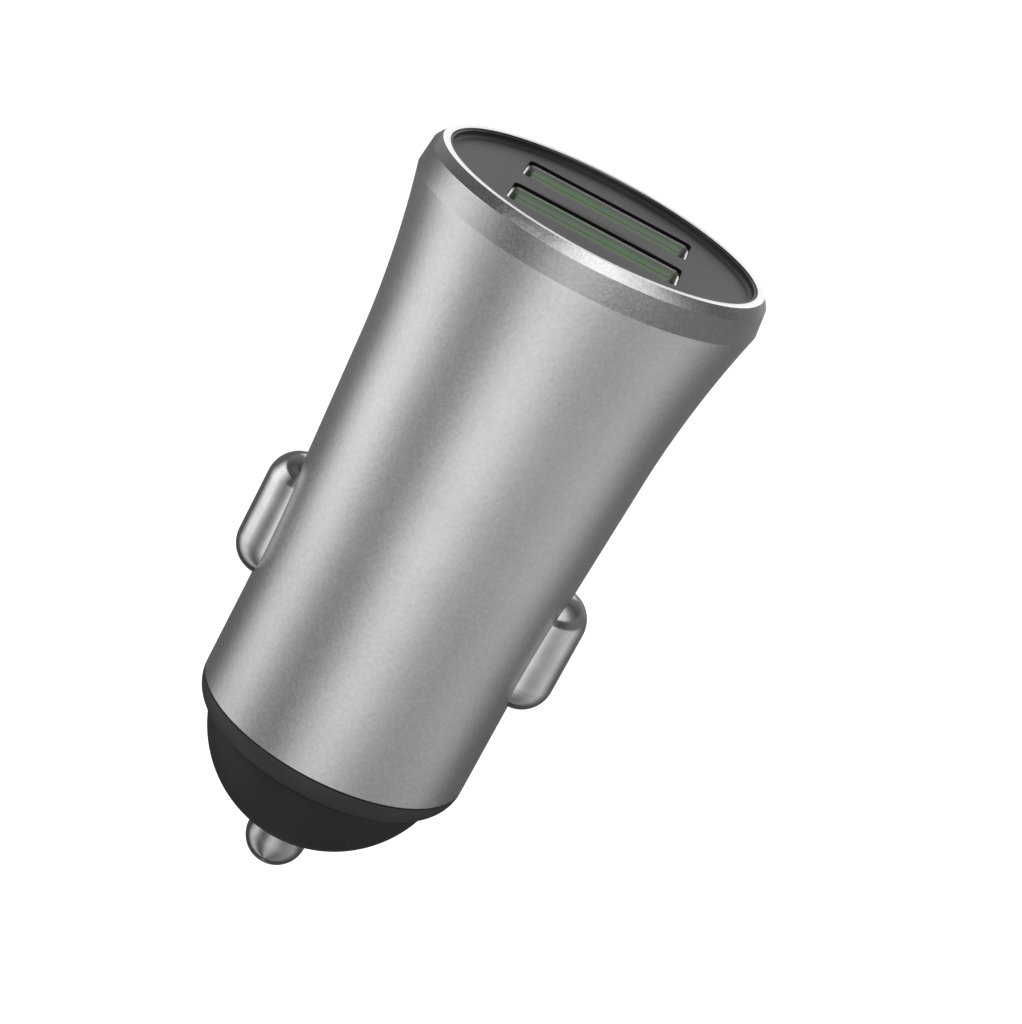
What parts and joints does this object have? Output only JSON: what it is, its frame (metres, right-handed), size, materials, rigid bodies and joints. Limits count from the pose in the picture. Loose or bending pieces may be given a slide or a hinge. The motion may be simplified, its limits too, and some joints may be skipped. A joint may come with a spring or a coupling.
{
  "type": "car usb charger plug",
  "caption": "Flared metal charger plug for a car's 12 V socket, with USB-A ports in its head, sprung side contacts and a sprung centre pin in a black nose",
  "frame": {"origin": "centre of the metal body's lower edge, where the plug body that slides into the socket begins", "axes": "+Z along the plug from the nose to the head with the ports, X through both ground contacts and along the ports' long sides"},
  "size_m": [0.0262, 0.0262, 0.0557],
  "materials": {
    "anodised_shell": "bead-blasted silver-grey anodised aluminium with a polished rim chamfer",
    "face_plastic": "smooth dark grey moulded plastic",
    "collar_plastic": "satin black moulded plastic",
    "nose_plastic": "semi-gloss black moulded plastic",
    "port_steel": "nickel-plated folded steel sheet",
    "green_plastic": "muted green moulded plastic",
    "contact_brass": "gold-plated brass strip",
    "board_green": "green glass-fibre circuit board",
    "chip_black": "black moulded chip housing",
    "ferrite_grey": "dull dark grey ferrite",
    "ceramic_tan": "tan ceramic block with tinned ends",
    "can_aluminium": "bright drawn aluminium can",
    "frame_plastic": "natural white moulded plastic",
    "spring_steel": "drawn spring steel wire",
    "contact_nickel": "bright nickel-plated pressed and turned metal"
  },
  "bodies": {
    "plug_body": {"body_shell": "anodised_shell", "face_plate": "face_plastic", "port_shell_front": "port_steel", "port_shell_rear": "port_steel", "port_insert_front": "green_plastic", "port_insert_rear": "green_plastic", "port_terminals_front": "contact_brass", "port_terminals_rear": "contact_brass", "port_board": "board_green", "power_board": "board_green", "converter_chip": "chip_black", "charge_chip": "chip_black", "power_inductor": "ferrite_grey", "catch_diode": "chip_black", "fuse": "ceramic_tan", "input_capacitor": "can_aluminium", "output_capacitor": "can_aluminium", "chip_resistors": "chip_black", "chip_capacitors": "ceramic_tan", "frame_front": "frame_plastic", "frame_rear": "frame_plastic", "contact_spring_left": "spring_steel", "contact_spring_right": "spring_steel", "ground_tab_left": "contact_brass", "ground_tab_right": "contact_brass", "pin_spring": "spring_steel", "pin_terminal": "contact_brass", "nose_collar": "collar_plastic", "nose_cap": "nose_plastic"},
    "left_contact": {"ground_contact_left": "contact_nickel"},
    "right_contact": {"ground_contact_right": "contact_nickel"},
    "pin": {"centre_pin": "contact_nickel"}
  },
  "joints": [
    {"name": "centre_pin_press", "type": "slide", "parent": "plug_body", "child": "pin", "axis": [0, 0, 1], "range_m": [0, 0.003], "stiffness_N_per_m": 500, "springref_m": -0.002, "deforming": ["pin_spring"]},
    {"name": "left_contact_press", "type": "slide", "parent": "plug_body", "child": "left_contact", "axis": [1, 0, 0], "range_m": [0, 0.0022], "stiffness_N_per_m": 600, "springref_m": -0.0015, "deforming": ["contact_spring_left"]},
    {"name": "right_contact_press", "type": "slide", "parent": "plug_body", "child": "right_contact", "axis": [-1, 0, 0], "range_m": [0, 0.0022], "stiffness_N_per_m": 600, "springref_m": -0.0015, "deforming": ["contact_spring_right"]}
  ]
}
